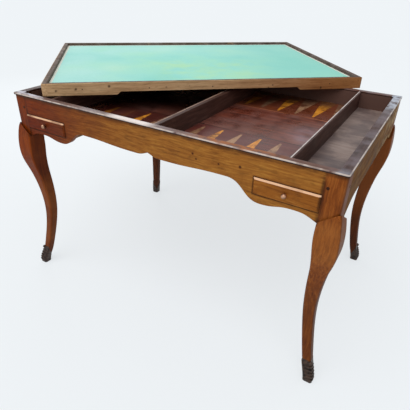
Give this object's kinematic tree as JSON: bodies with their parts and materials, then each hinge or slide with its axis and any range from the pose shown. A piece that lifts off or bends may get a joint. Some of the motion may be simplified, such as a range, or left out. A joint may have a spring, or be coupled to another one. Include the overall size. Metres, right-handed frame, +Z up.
{
  "type": "tric-trac table",
  "caption": "Antique walnut tric-trac table on cabriole legs with an inlaid board, small drawers and a loose baize-lined lid turned across the box.",
  "frame": {"origin": "on the floor under the middle of the box", "axes": "+X along the table to the right, +Y from the drawer front to the back, +Z up"},
  "size_m": [1.5473, 1.3811, 0.7603],
  "materials": {
    "walnut_box": "waxed walnut, golden brown",
    "walnut_legs": "waxed walnut, red brown",
    "walnut_rim": "worn grey brown walnut with a waxed sheen",
    "board_wood": "dark red brown, polished",
    "tray_wood": "grey brown, dull",
    "pale_inlay": "pale fruitwood",
    "amber_inlay": "amber coloured wood",
    "drawer_wood": "waxed walnut",
    "runner_wood": "plain unpolished wood",
    "peg_wood": "dark end grain",
    "knob_brass": "worn brass",
    "sabot_metal": "dark patinated bronze",
    "lid_wood": "dry grey brown wood",
    "baize": "faded sea green baize",
    "nail_iron": "dark iron"
  },
  "bodies": {
    "table": {"apron_front": "walnut_box", "apron_back": "walnut_box", "apron_left": "walnut_box", "apron_right": "walnut_box", "leg_front_left": "walnut_legs", "leg_front_right": "walnut_legs", "leg_back_left": "walnut_legs", "leg_back_right": "walnut_legs", "rim_front": "walnut_rim", "rim_back": "walnut_rim", "rim_left": "walnut_rim", "rim_right": "walnut_rim", "floor_left_board": "board_wood", "floor_right_board": "board_wood", "partition_centre": "board_wood", "partition_left": "board_wood", "partition_right": "board_wood", "floor_left_tray": "tray_wood", "floor_right_tray": "tray_wood", "points_pale_left": "pale_inlay", "points_pale_right": "pale_inlay", "points_amber_left": "amber_inlay", "points_amber_right": "amber_inlay", "left_drawer_runners": "runner_wood", "right_drawer_runners": "runner_wood", "drawer_stops": "runner_wood", "tenon_pegs": "peg_wood", "sabot_front_left": "sabot_metal", "sabot_front_right": "sabot_metal", "sabot_back_left": "sabot_metal", "sabot_back_right": "sabot_metal"},
    "left_drawer": {"left_drawer_front": "drawer_wood", "left_drawer_inner_side": "drawer_wood", "left_drawer_outer_side": "drawer_wood", "left_drawer_back": "drawer_wood", "left_drawer_bottom": "drawer_wood", "left_drawer_knob": "knob_brass"},
    "right_drawer": {"right_drawer_front": "drawer_wood", "right_drawer_inner_side": "drawer_wood", "right_drawer_outer_side": "drawer_wood", "right_drawer_back": "drawer_wood", "right_drawer_bottom": "drawer_wood", "right_drawer_knob": "knob_brass"},
    "lid_pivot": {"lid_pivot_peg": "peg_wood"},
    "lid": {"lid_panel": "lid_wood", "lid_rail_front": "lid_wood", "lid_rail_back": "lid_wood", "lid_rail_left": "lid_wood", "lid_rail_right": "lid_wood", "lid_pivot_block": "lid_wood", "lid_baize": "baize", "lid_rail_nails": "nail_iron"}
  },
  "joints": [
    {"name": "left_drawer_slide", "type": "slide", "parent": "table", "child": "left_drawer", "axis": [0, -1, 0], "range_m": [0, 0.24]},
    {"name": "right_drawer_slide", "type": "slide", "parent": "table", "child": "right_drawer", "axis": [0, -1, 0], "range_m": [0, 0.24]},
    {"name": "lid_lift", "type": "slide", "parent": "table", "child": "lid_pivot", "axis": [0, 0, 1], "range_m": [0, 0.3]},
    {"name": "lid_swing", "type": "hinge", "parent": "lid_pivot", "child": "lid", "pos_m": [-0.5475, -0.207, 0.72], "axis": [0, 0, 1], "range_deg": [-41.8, 0]}
  ]
}
